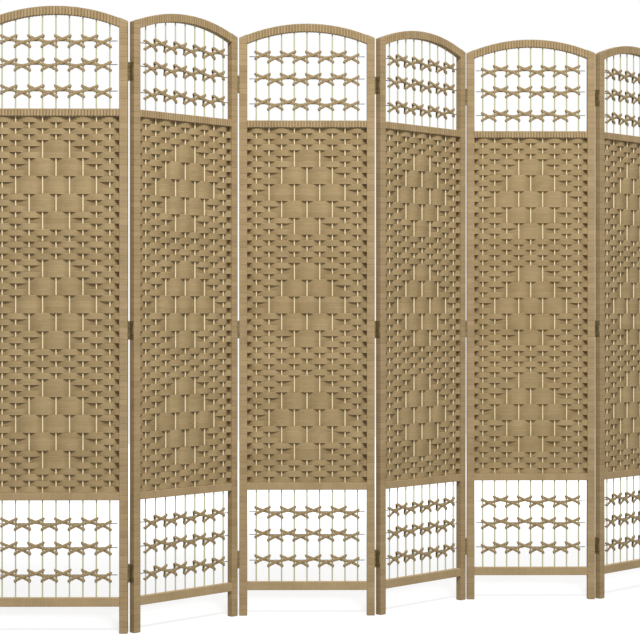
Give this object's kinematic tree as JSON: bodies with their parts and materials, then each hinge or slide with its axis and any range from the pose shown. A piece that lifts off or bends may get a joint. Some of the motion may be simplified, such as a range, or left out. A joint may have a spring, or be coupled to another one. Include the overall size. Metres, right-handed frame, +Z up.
{
  "type": "folding screen",
  "caption": "Folding room screen of hinged arched panels, with a woven diamond mat in each panel and a cord lattice over and under it.",
  "frame": {"origin": "centre of the footprint, on the floor under the feet", "axes": "+Z up, +X from panel 1 to panel 6 along the screen, -Y towards the front"},
  "size_m": [2.2778, 0.174, 1.7499],
  "materials": {
    "frame": "wrapped in fine paper twine, matt",
    "rods": "plain pale rod, matt",
    "woven_mat": "flat bands of paper twine, matt",
    "cord": "twisted paper cord, matt",
    "wire": "plain thin wire",
    "hinge": "dark antique bronze"
  },
  "bodies": {
    "panel_1": {"left_stile_1": "frame", "right_stile_1": "frame", "arch_1": "frame", "rails_1": "frame", "rods_1": "rods", "woven_mat_1": "woven_mat", "lattice_cords_1": "cord", "lattice_wires_1": "wire", "hinge_leaves_1": "hinge", "hinge_pins_1": "hinge"},
    "panel_2": {"left_stile_2": "frame", "right_stile_2": "frame", "arch_2": "frame", "rails_2": "frame", "rods_2": "rods", "woven_mat_2": "woven_mat", "lattice_cords_2": "cord", "lattice_wires_2": "wire", "hinge_leaves_2": "hinge", "hinge_pins_2": "hinge"},
    "panel_3": {"left_stile_3": "frame", "right_stile_3": "frame", "arch_3": "frame", "rails_3": "frame", "rods_3": "rods", "woven_mat_3": "woven_mat", "lattice_cords_3": "cord", "lattice_wires_3": "wire", "hinge_leaves_3": "hinge", "hinge_pins_3": "hinge"},
    "panel_4": {"left_stile_4": "frame", "right_stile_4": "frame", "arch_4": "frame", "rails_4": "frame", "rods_4": "rods", "woven_mat_4": "woven_mat", "lattice_cords_4": "cord", "lattice_wires_4": "wire", "hinge_leaves_4": "hinge", "hinge_pins_4": "hinge"},
    "panel_5": {"left_stile_5": "frame", "right_stile_5": "frame", "arch_5": "frame", "rails_5": "frame", "rods_5": "rods", "woven_mat_5": "woven_mat", "lattice_cords_5": "cord", "lattice_wires_5": "wire", "hinge_leaves_5": "hinge", "hinge_pins_5": "hinge"},
    "panel_6": {"left_stile_6": "frame", "right_stile_6": "frame", "arch_6": "frame", "rails_6": "frame", "rods_6": "rods", "woven_mat_6": "woven_mat", "lattice_cords_6": "cord", "lattice_wires_6": "wire", "hinge_leaves_6": "hinge"}
  },
  "joints": [
    {"name": "hinge_1", "type": "hinge", "parent": "panel_1", "child": "panel_2", "pos_m": [-0.76101, -0.06826, 0.84483], "axis": [0, 0, 1], "range_deg": [-46, 134]},
    {"name": "hinge_2", "type": "hinge", "parent": "panel_2", "child": "panel_3", "pos_m": [-0.3805, 0.06826, 0.84483], "axis": [0, 0, -1], "range_deg": [-46, 134]},
    {"name": "hinge_3", "type": "hinge", "parent": "panel_3", "child": "panel_4", "pos_m": [0, -0.06826, 0.84483], "axis": [0, 0, 1], "range_deg": [-46, 134]},
    {"name": "hinge_4", "type": "hinge", "parent": "panel_4", "child": "panel_5", "pos_m": [0.3805, 0.06826, 0.84483], "axis": [0, 0, -1], "range_deg": [-46, 134]},
    {"name": "hinge_5", "type": "hinge", "parent": "panel_5", "child": "panel_6", "pos_m": [0.76101, -0.06826, 0.84483], "axis": [0, 0, 1], "range_deg": [-46, 134]}
  ]
}
